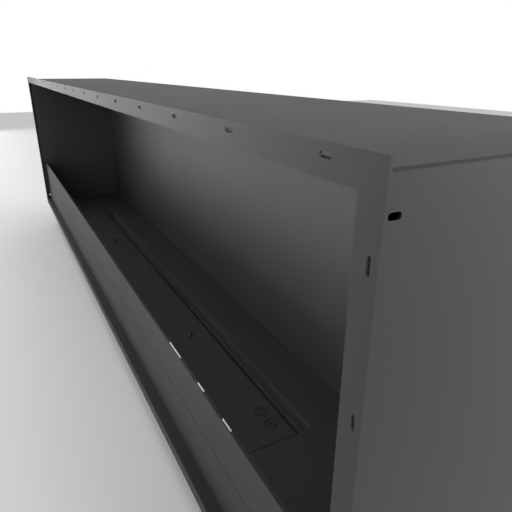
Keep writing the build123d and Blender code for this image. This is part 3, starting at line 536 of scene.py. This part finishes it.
# Lift knobs, button rings and push buttons in the lid
lidFittings = {
    "knob": [(0, 0), (2.9, 0), (2.9, 0.4), (2.4, 0.9), (2.2, 2.4), (2.5, 3.7), (3.9, 4.0), (4.4, 4.4), (4.5, 5.0),
             (4.5, 6.6), (4.25, 7.3), (3.6, 7.8), (2.4, 8.0), (0, 8.0)],
    "bezel": [(8.65, 0), (11.2, 0), (11.2, 0.35), (10.9, 0.65), (10.3, 0.8), (9.2, 0.8), (8.8, 0.65), (8.65, 0.4)],
    "cap": [(0, -12.0), (7.4, -12.0), (8.0, -11.4), (8.0, 0.05), (7.85, 0.35), (7.5, 0.5), (6.5, 0.5), (6.35, 0.25),
            (5.9, 0.25), (5.75, 0.5), (3.4, 0.5), (3.2, 0.3), (3.1, -0.7), (0, -0.5)],
    "knobReachMm": 4.5, "ringReachMm": 11.2, "lensMm": 3.15, "lensDeepMm": 2.0,
}


def makeLidFittings():
    p = lidFittings
    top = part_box("slot_lid")[1][2]
    knobs = onGrid("lid_knobs", turned(p["knob"], 40), materials["knob_steel"], 2, 1, p["knobReachMm"], top)
    addPiece("turned_lid_knobs", knobs, "lid_knobs", ["lid_knobs"])
    # The rings are near-black, a painted shadow in the gap round each button.
    rings = onGrid("button_bezels", turned(p["bezel"], 48, True), nylonPaintedShade, 2, 1, p["ringReachMm"], top)
    addPiece("button_rings", rings, "button_bezels", ["button_bezels"])
    for node in ("light_button", "mist_button"):
        low, high = (Vector(corner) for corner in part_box(node))
        middle = (low + high) / 2
        cap = turned(p["cap"], 48)
        cap.materials.append(materials["charcoal_paint"])
        cap.materials.append(nylonPaintedShade)
        for polygon in cap.polygons:  # the sunk middle is near-black, a painted shade in the dimple
            spot = polygon.center / mm
            polygon.material_index = int(spot.xy.length < p["lensMm"] and spot.z > -p["lensDeepMm"])
        addPiece(node + "_cap", moved(cap, Matrix.Translation((middle.x, middle.y, top))), node, [node])


makeLidFittings()
print("lid fittings made")


# Flame slot: hemmed rear edge in the lighter edge paint, a painted highlight along it, drip lips folded down into the
# tank, and paint over the rear plate's end seams
flameSlot = {
    "hem": [(0.1, -1.3), (0, -0.5), (0.15, 0.1), (0.5, 0.45), (1.0, 0.6), (2.2, 0.6), (2.7, 0.4), (3.0, -0.2),
            (3.0, -0.7)],
    "hemWideMm": 3.0, "endGapMm": 0.5, "lipSheetMm": 1.2, "lipDropMm": 19.0, "bridgeMm": 1.1,
    "bridgeRiseMm": 0.04,
}


def makeFlameSlot():
    p = flameSlot
    low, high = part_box("rear_floor_plate")
    hem = swept(p["hem"], low[0], high[0], low[1], high[2])
    addPiece("rear_plate_hem", hem, "rear_floor_plate", finish=paintEdgeHighlight)
    front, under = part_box("slot_lid")[1][1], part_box("tank_cover")[0][2]
    sheet, drop = p["lipSheetMm"], p["lipDropMm"]
    lips = [swept([(0, 0), (side * sheet, 0), (side * sheet, -drop), (side * sheet / 2, -drop - 0.4), (0, -drop)],
                  low[0], high[0], y, under) for y, side in ((front, -1), (low[1], 1))]
    addPiece("cover_drip_lips", joined(lips), "tank_cover", finish=materials[slotOf["tank_cover"]])
    depth = (high[1] - low[1]) / mm
    start, rise = p["hemWideMm"], p["bridgeRiseMm"]
    strip = [(start, -0.3), (depth, -0.3), (depth, rise), (start, rise)]
    reach = p["bridgeMm"] * mm
    half = p["endGapMm"] / 2 * mm
    ends = (low[0] - half, high[0] + half)
    bridges = [swept(strip, x - reach, x + reach, low[1], high[2]) for x in ends]
    addPiece("seam_paint_bridges", joined(bridges), "rear_floor_plate", finish=materials["charcoal_paint"])


makeFlameSlot()
print("flame slot made")


# Spot welds round the back panel: a shallow ring where the electrode pressed, painted over in the lighter edge paint,
# a painted highlight on each ring
weldMarks = {
    "mark": [(0, -0.2), (3.2, -0.2), (3.0, 0.18), (2.0, 0.26), (0, 0.1)], "pitchMm": 80.0, "insetMm": 9.0,
}


def makeWeldMarks():
    p = weldMarks
    low, high = (Vector(corner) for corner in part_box("back_panel"))
    start = Vector((low.x, high.y, low.z)) + Vector((1, 0, 1)) * p["insetMm"] * mm
    width, height = (high - low).x - 2 * p["insetMm"] * mm, (high - low).z - 2 * p["insetMm"] * mm
    across, up = round(width / (p["pitchMm"] * mm)), round(height / (p["pitchMm"] * mm))
    rise = Vector((0, 0, height / up))
    rows = {"Columns": across + 1, "Rows": 2, "Start": start, "Column Step": (width / across, 0, 0),
            "Row Step": (0, 0, height)}
    uprights = {"Columns": 2, "Rows": up - 1, "Start": start + rise, "Column Step": (width, 0, 0), "Row Step": rise}
    marks = [grow("grid", dict(grid, Turn=(-math.pi / 2, 0, 0), Finish=paintEdgeHighlight), turned(p["mark"], 12))
             for grid in (rows, uprights)]
    addPiece("back_weld_marks", joined(marks), "back_panel", finish=paintEdgeHighlight)


makeWeldMarks()
print("weld marks made")


# Ends of the top panel: a black strip on the cut edge, a painted shadow line under the top's edge, and paint that
# fills the fine gap under it
topShadowStrip = {
    "seal": [(-0.6, -0.05), (0.05, -0.1), (0.15, -0.5), (0.15, -1.9), (-0.6, -2.0)],
    "fill": [(-2.0, -2.0), (-0.1, -2.0), (-0.1, -4.5), (-2.0, -4.5)],
}


def makeTopShadowStrips():
    p = topShadowStrip
    low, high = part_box("top_panel")
    for name, node, finish in (("seal", "base_feet", materials["foot_rubber"]),  # the rubber of the feet, black as a painted shadow line
                               ("fill", "top_panel", materials["charcoal_paint"])):
        strips = []
        for side in (-1, 1):
            strip = swept([(-side * across, up) for across, up in p[name]], low[1], high[1], 0, high[2])
            turn = Matrix.Translation((side * high[0], 0, 0)) @ Matrix.Rotation(math.pi / 2, 4, "Z")
            strips.append(moved(strip, turn))
        addPiece("top_end_" + name + "s", joined(strips), node, finish=finish)


makeTopShadowStrips()
print("top end seals made")


# Rubber feet and cross-head screws under the base
underside = {
    "foot": [(0, 2.6), (4.2, 2.6), (4.6, 0.3), (5.2, 0), (12.6, 0), (13.6, 0.4), (14.4, 1.6), (15, 4.6), (14.6, 5.7),
             (14, 6), (0, 6)],
    "screwHead": [(0, 2.6), (0.5, 2.6), (1.0, 2.58), (1.6, 2.5), (2.1, 2.4), (2.8, 2.1), (3.5, 1.5), (3.9, 0.8),
                  (4.0, 0.3), (4.0, 0), (2.0, 0), (2.0, -3.0), (0, -3.0)],
    "feet": (3, 2), "footReachMm": 15.0, "screws": (8, 2), "headReachMm": 4.0, "headMm": 2.6,
    "crossReachMm": 2.2, "crossDepthMm": 1.2, "crossHalfMm": 0.42, "crossAboveMm": 2.35,
}


def makeScrew():
    p = underside
    mesh = turned(p["screwHead"], 48)
    for vertex in mesh.vertices:
        x, y, z = (value / mm for value in vertex.co)
        if z > p["crossAboveMm"] and math.hypot(x, y) < p["crossReachMm"] and min(abs(x), abs(y)) < p["crossHalfMm"]:
            vertex.co.z -= p["crossDepthMm"] * mm * (1 - 0.3 * math.hypot(x, y) / p["crossReachMm"])
    return smoothed(mesh, 30)


def makeUnderside():
    p = underside
    feet = onGrid("base_feet", turned(p["foot"], 40), materials["foot_rubber"], *p["feet"], p["footReachMm"], 0.0)
    addPiece("moulded_feet", feet, "base_feet", ["base_feet"])
    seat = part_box("base_screws")[0][2] + p["headMm"] * mm
    screws = onGrid("base_screws", makeScrew(), materials["zinc_screw"], *p["screws"], p["headReachMm"], seat,
                    (math.pi, 0, 0))
    addPiece("cross_head_screws", screws, "base_screws", ["base_screws"])


makeUnderside()
print("feet and screws made")


# Mist makers and level switch in the tank
mistMakers = {
    "count": 16, "sealReachMm": 16.6, "discReachMm": 12.5,
    "seal": [(12.62, 0), (16.6, 0), (16.6, 6.6), (16.2, 7.5), (15.4, 8.0), (14.2, 8.0), (13.2, 7.6), (12.75, 6.8),
             (12.62, 5.4)],
    "disc": [(0, 0), (12.5, 0), (12.5, 2.2), (12.2, 2.55), (9.2, 2.6), (8.9, 2.85), (8.4, 3.0), (3.2, 3.0),
             (2.9, 2.8), (0, 2.75)],
    "float": [(3.1, 0.4), (3.5, 0), (9.0, 0), (9.7, 0.3), (10, 1.0), (10, 9.0), (9.7, 9.7), (9.0, 10), (3.5, 10),
              (3.1, 9.6)],
    "stem": [(0, 0), (6, 0), (6, 3.4), (5.6, 4), (3, 4), (3, 24.5), (5.6, 24.5), (6, 25), (6, 27.8), (5.3, 28.5),
             (0, 28.5)],
}


def makeMistMakers():
    p = mistMakers
    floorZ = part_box("transducer_discs")[0][2]
    seals = onGrid("transducer_rings", turned(p["seal"], 40, True), materials["black_plastic"], p["count"], 1,
                   p["sealReachMm"], floorZ)
    addPiece("transducer_seals", seals, "transducer_rings", ["transducer_rings"])
    discs = onGrid("transducer_discs", turned(p["disc"], 40), materials["disc_ceramic"], p["count"], 1,
                   p["discReachMm"], floorZ)
    addPiece("silvered_discs", discs, "transducer_discs", ["transducer_discs"])
    for node, profile, closed in (("level_float", p["float"], True), ("level_switch_stem", p["stem"], False)):
        low, high = (Vector(corner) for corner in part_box(node))
        place = Matrix.Translation(((low.x + high.x) / 2, (low.y + high.y) / 2, low.z))
        addPiece(node + "_turned", moved(turned(profile, 40, closed), place), node, [node], materials[slotOf[node]])


makeMistMakers()
print("mist makers made")


# Light chips: a white case with a yellow resin well
lightChips = {"count": 40, "sizeMm": 5.0, "depthMm": 1.6, "wellMm": 1.9}


def makeLightChips():
    p = lightChips
    build = bmesh.new()
    bmesh.ops.create_cube(build, size=1.0)
    bmesh.ops.scale(build, vec=(p["sizeMm"] * mm, p["sizeMm"] * mm, p["depthMm"] * mm), verts=build.verts)
    bmesh.ops.bevel(build, geom=build.edges[:], offset=0.25 * mm, segments=2, affect="EDGES", profile=0.5)
    case = bpy.data.meshes.new("chipCase")
    build.to_mesh(case)
    build.free()
    half, wide = p["depthMm"] / 2, p["wellMm"]
    well = turned([(0, half + 0.02), (wide * 0.7, half + 0.02), (wide, half - 0.05), (wide, half - 0.3),
                   (0, half - 0.3)], 20)
    low, high = (Vector(corner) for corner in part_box("light_chips"))
    middle = (low.y + high.y) / 2
    settings = {
        "Columns": p["count"], "Rows": 1, "Start": (low.x + p["sizeMm"] / 2 * mm, middle, (low.z + high.z) / 2),
        "Column Step": ((high.x - low.x - p["sizeMm"] * mm) / (p["count"] - 1), 0, 0), "Row Step": (0, 0, 0),
        "Turn": (-math.pi / 2, 0, 0)}
    cases = grow("grid", dict(settings, Finish=materials["light_board_white"]), smoothed(case))
    addPiece("light_chip_cases", cases, "light_chips", ["light_chips"])
    wells = grow("grid", dict(settings, Finish=materials["chip_yellow"]), well)
    addPiece("light_chip_wells", wells, "light_chips")


makeLightChips()
print("light chips made")


# Fan rotors with cambered, twisted blades
fans = {
    "count": 7, "hubMm": 8.0, "hubLongMm": 12.0, "tipMm": 18.1, "chordMm": (8.2, 9.4), "pitch": (46.0, 34.0),
    "camberMm": 0.8, "thickMm": 0.9, "shaftMm": (1.0, 5.0),
}


def makeBlade(side):
    p = fans
    spans, chords = 7, 7
    build = bmesh.new()
    rows = []
    for i in range(spans):
        share = i / (spans - 1)
        radius = (p["hubMm"] - 0.5) * (1 - share) + p["tipMm"] * share
        chord = p["chordMm"][0] * (1 - share) + p["chordMm"][1] * share
        pitch = math.radians(p["pitch"][0] * (1 - share) + p["pitch"][1] * share)
        row = []
        for j in range(chords):
            c = j / (chords - 1) - 0.5
            lift = p["camberMm"] * (1 - 4 * c * c)
            axial = side * (c * chord * math.cos(pitch) - lift * math.sin(pitch))
            around = (c * chord * math.sin(pitch) + lift * math.cos(pitch)) / radius
            row.append(build.verts.new((axial * mm, radius * math.cos(around) * mm, radius * math.sin(around) * mm)))
        rows.append(row)
    for lower, upper in zip(rows, rows[1:]):
        for j in range(chords - 1):
            build.faces.new([lower[j], lower[j + 1], upper[j + 1], upper[j]])
    bmesh.ops.recalc_face_normals(build, faces=build.faces)
    bmesh.ops.solidify(build, geom=build.faces[:], thickness=p["thickMm"] * mm)
    bmesh.ops.recalc_face_normals(build, faces=build.faces)
    mesh = bpy.data.meshes.new("blade")
    build.to_mesh(mesh)
    build.free()
    return smoothed(mesh)


def makeRotor(node, side):
    p = fans
    low, high = (Vector(corner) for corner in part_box(node))
    centre = (low + high) / 2
    outer = (high.x if side > 0 else low.x) - side * p["shaftMm"][1] * mm
    hubMiddle = Vector((outer - side * p["hubLongMm"] / 2 * mm, centre.y, centre.z))
    half, hub, shaft = p["hubLongMm"] / 2, p["hubMm"], p["shaftMm"]
    profile = [(0, -half + 0.4), (hub - 2.2, -half + 0.4), (hub - 1.9, -half), (hub - 0.9, -half),
               (hub - 0.25, -half + 0.3), (hub, -half + 1.0), (hub, half), (shaft[0], half),
               (shaft[0], half + shaft[1]), (0, half + shaft[1])]
    core = moved(turned(profile, 40), Matrix.Rotation(side * math.pi / 2, 4, "Y"))
    core = moved(core, Matrix.Translation(hubMiddle))
    blades = grow("blades", {"Count": p["count"], "Centre": hubMiddle, "Finish": materials["black_plastic"]},
                  makeBlade(side))
    addPiece(node + "_bladed", joined([core, blades]), node, [node], materials["black_plastic"])


makeRotor("left_fan_rotor", -1)
makeRotor("right_fan_rotor", 1)
print("fan rotors made")


# Circuit board components, standoffs, louvres on the metal cases and the drain plug
bayParts = {
    "seed": 7, "componentMm": (3.4, 2.0, 1.1), "fieldMm": (92.0, 13.0), "spacingMm": 4.6, "density": 90000.0,
    "fieldShiftMm": 3.0, "standoff": [(0, 0), (3.0, 0), (3.0, 7.6), (2.7, 8.0), (0, 8.0)], "standoffReachMm": 3.0,
    "louvreMm": (26.0, 3.2, 1.1), "louvreRows": 6, "louvreStepMm": 6.2,
    "plug": [(0, -3.0), (6.6, -3.0), (7.0, -2.6), (7.0, 0), (10.0, 0), (10.0, 2.8), (9.4, 3.6), (8.4, 4.0),
             (6.6, 4.0), (6.2, 3.3), (2.2, 3.3), (1.8, 4.0), (0, 4.0)],
}


def makeComponent():
    size = bayParts["componentMm"]
    build = bmesh.new()
    bmesh.ops.create_cube(build, size=1.0)
    bmesh.ops.scale(build, vec=[value * mm for value in size], verts=build.verts)
    bmesh.ops.translate(build, vec=(0, 0, size[2] / 2 * mm), verts=build.verts)
    bmesh.ops.bevel(build, geom=build.edges[:], offset=0.15 * mm, segments=1, affect="EDGES", profile=0.5)
    mesh = bpy.data.meshes.new("component")
    build.to_mesh(mesh)
    build.free()
    return mesh


def makeLouvre():
    length, width, height = bayParts["louvreMm"]
    build = bmesh.new()
    rings = []
    for along, swell in ((-0.5, 0.15), (-0.44, 0.75), (-0.36, 1.0), (0.36, 1.0), (0.44, 0.75), (0.5, 0.15)):
        ring = []
        for i in range(7):
            angle = math.pi * i / 6
            ring.append(build.verts.new((
                along * length * mm, width / 2 * math.cos(angle) * (0.6 + 0.4 * swell) * mm,
                height * math.sin(angle) * swell * mm)))
        rings.append(ring)
    for first, second in zip(rings, rings[1:]):
        for i in range(6):
            build.faces.new([first[i], first[i + 1], second[i + 1], second[i]])
        build.faces.new([first[6], first[0], second[0], second[6]])
    build.faces.new(rings[0])
    build.faces.new(rings[-1])
    bmesh.ops.recalc_face_normals(build, faces=build.faces)
    mesh = bpy.data.meshes.new("louvre")
    build.to_mesh(mesh)
    build.free()
    return smoothed(mesh)


def makeBayParts():
    p = bayParts
    low, high = (Vector(corner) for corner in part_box("control_board"))
    field = grow("scatter", {
        "Centre": ((low.x + high.x) / 2, (low.y + high.y) / 2 + p["fieldShiftMm"] * mm, high.z),
        "Length": p["fieldMm"][0] * mm, "Width": p["fieldMm"][1] * mm, "Spacing": p["spacingMm"] * mm,
        "Density": p["density"], "Seed": p["seed"], "Finish": materials["black_plastic"]}, makeComponent())
    addPiece("board_components", field, "board_parts")
    legs = onGrid("board_standoffs", turned(p["standoff"], 6), materials["pin_brass"], 2, 2, p["standoffReachMm"],
                  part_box("board_standoffs")[0][2])
    addPiece("hexagon_standoffs", legs, "board_standoffs", ["board_standoffs"])
    rows = []
    for node in ("power_supply", "mist_driver"):
        low, high = (Vector(corner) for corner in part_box(node))
        for side in (-1, 1):
            middle = Vector(((low.x + high.x) / 2 + side * (high.x - low.x) / 4, (low.y + high.y) / 2, high.z))
            start = middle - Vector((0, p["louvreStepMm"] * (p["louvreRows"] - 1) / 2 * mm, 0))
            rows.append(grow("grid", {
                "Columns": 1, "Rows": p["louvreRows"], "Start": start, "Column Step": (0, 0, 0),
                "Row Step": (0, p["louvreStepMm"] * mm, 0), "Turn": (0, 0, 0),
                "Finish": materials["case_aluminium"]}, makeLouvre()))
    addPiece("case_louvres", joined(rows), "power_supply", finish=materials["case_aluminium"])
    low, high = (Vector(corner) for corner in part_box("drain_plug"))
    place = Matrix.Translation(((low.x + high.x) / 2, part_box("water_tank")[0][1], (low.z + high.z) / 2))
    plug = moved(turned(p["plug"], 40), place @ Matrix.Rotation(math.pi / 2, 4, "X"))
    addPiece("drain_plug_turned", plug, "drain_plug", ["drain_plug"], materials["black_plastic"])


makeBayParts()
print("bay parts made")


# Plain pale floor
floorPlan = {"size": 14.0, "tones": ("#f3f3f2", "#f6f6f5")}


def makeFloor():
    bpy.ops.mesh.primitive_plane_add(size=floorPlan["size"])
    ground = bpy.context.object
    ground.name = "studioFloor"
    material, tree, shader, coords = newMaterial("paleStudioFloor")
    mottle = addNode(tree, "ShaderNodeTexNoise", {"Vector": coords, "Scale": 2.0})
    dark, light = (linear(tone) for tone in floorPlan["tones"])
    tone = addNode(tree, "ShaderNodeMix", {0: mottle.outputs["Fac"], 6: dark, 7: light}, data_type="RGBA")
    tree.links.new(tone.outputs[2], shader.inputs["Base Color"])
    shader.inputs["Roughness"].default_value = 0.9
    ground.data.materials.append(material)


makeFloor()


# Soft studio light: a dim white room, brighter to the right and behind, with softboxes and small fills
studio = {
    "room": 0.47, "rightWall": 1.4, "backdrop": 0.92,
    "lamps": {
        "farLeftSoftbox": {"at": (-4.5, -1.2, 0.8), "aim": (0, 0, 0.35),
            "size": (1.6, 1.4), "watts": 18, "spread": 180},
        "rightSoftbox": {"at": (3.4, 1.6, 1.0), "aim": (1, 0, 0.35),
            "size": (1.8, 1.6), "watts": 21, "spread": 180},
        "griddedStrip": {"at": (-1.9, -2.6, 0.75), "aim": (0.1, -0.15, 0.55),
            "size": (1.4, 0.25), "watts": 1.2, "spread": 11},
        "mouthFill": {"at": (0.1, -0.125, 0.31), "aim": (0.1, 0.5, 0.15),
            "size": (1.75, 0.07), "watts": 1.3, "spread": 160},
        "slotFill": {"at": (0, 0.044, 0.096), "aim": (0, 0.057, 0.081),
            "size": (1.5, 0.004), "watts": 0.024, "spread": 160},
        "nearFill": {"at": (0.75, -0.13, 0.4), "aim": (0.55, 0.5, 0.36),
            "size": (0.5, 0.2), "watts": 0.3, "spread": 180},
        "backSoftbox": {"at": (1.2, 2.6, 1.1), "aim": (0, 0.15, 0.35),
            "size": (2.0, 1.4), "watts": 38, "spread": 140},
        "floorSoftbox": {"at": (-1.2, -1.9, 2.4), "aim": (-1.2, -1.901, 0),
            "size": (4.6, 3), "watts": 24, "spread": 50},
    },
}


def makeLight():
    world = bpy.data.worlds.new("whiteRoom")
    bpy.context.scene.world = world
    world.use_nodes = True
    tree = world.node_tree
    toward = addNode(tree, "ShaderNodeTexCoord").outputs["Generated"]
    axes = addNode(tree, "ShaderNodeSeparateXYZ", {"Vector": toward})
    low = addNode(tree, "ShaderNodeMapRange", {"Value": axes.outputs["Z"], "From Min": 0.7, "From Max": 0.15})
    right = addNode(tree, "ShaderNodeMapRange", {
        "Value": axes.outputs["X"], "From Min": 0.0, "From Max": 0.8, "To Max": studio["rightWall"]})
    flat = addNode(tree, "ShaderNodeMapRange", {"Value": axes.outputs["Z"], "From Min": 0.32, "From Max": 0.18})
    corner = addNode(tree, "ShaderNodeMath", {0: axes.outputs["Y"], 1: axes.outputs["X"]}, operation="SUBTRACT")
    behind = addNode(tree, "ShaderNodeMapRange", {
        "Value": corner.outputs["Value"], "From Min": 0.3, "From Max": 0.8, "To Max": studio["backdrop"]})
    wall = addNode(tree, "ShaderNodeMath", {
        0: right.outputs["Result"], 1: low.outputs["Result"], 2: studio["room"]}, operation="MULTIPLY_ADD")
    strength = addNode(tree, "ShaderNodeMath", {
        0: behind.outputs["Result"], 1: flat.outputs["Result"], 2: wall.outputs["Value"]}, operation="MULTIPLY_ADD")
    back = tree.nodes["Background"]
    back.inputs["Color"].default_value = (1, 1, 1, 1)
    seen = addNode(tree, "ShaderNodeLightPath").outputs["Is Camera Ray"]  # the room itself shows plain white
    shown = addNode(tree, "ShaderNodeMix", {0: seen, 2: strength.outputs["Value"], 3: 1.0}, data_type="FLOAT")
    tree.links.new(shown.outputs[0], back.inputs["Strength"])
    for name, p in studio["lamps"].items():
        data = bpy.data.lights.new(name, "AREA")
        data.shape = "RECTANGLE"
        data.size, data.size_y = p["size"]
        data.energy = p["watts"]
        data.spread = math.radians(p["spread"])
        lamp = bpy.data.objects.new(name, data)
        bpy.context.collection.objects.link(lamp)
        lamp.location = p["at"]
        lamp.rotation_euler = (Vector(p["aim"]) - Vector(p["at"])).to_track_quat("-Z", "Y").to_euler()
        lamp.visible_camera = False
    bpy.context.scene.view_settings.view_transform = "Standard"


makeLight()


# Camera close to the top right front corner, fitted to the photograph
view = {
    "cornerOffsetMm": (156.13, -153.36, 35.89), "yaw": 61.381, "pitch": 21.856, "roll": 0.22,
    "focalPixels": 469.43, "framePixels": 512, "sensorMm": 36.0,
}


def makeCamera():
    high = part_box("top_flange")[1]
    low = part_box("top_flange")[0]
    corner = Vector((high[0], low[1], high[2]))
    data = bpy.data.cameras.new("photoCamera")
    data.sensor_width = view["sensorMm"]
    data.lens = view["focalPixels"] / view["framePixels"] * view["sensorMm"]
    data.clip_start = 0.01
    camera = bpy.data.objects.new("photoCamera", data)
    bpy.context.collection.objects.link(camera)
    turn = Matrix.Rotation(math.radians(view["yaw"]), 4, "Z")
    nod = Matrix.Rotation(math.radians(90 - view["pitch"]), 4, "X")
    roll = Matrix.Rotation(math.radians(view["roll"]), 4, "Z")
    place = Matrix.Translation(corner + Vector(view["cornerOffsetMm"]) * mm)
    camera.matrix_world = place @ turn @ nod @ roll
    bpy.context.scene.camera = camera


makeCamera()
print("stage, light and camera set")
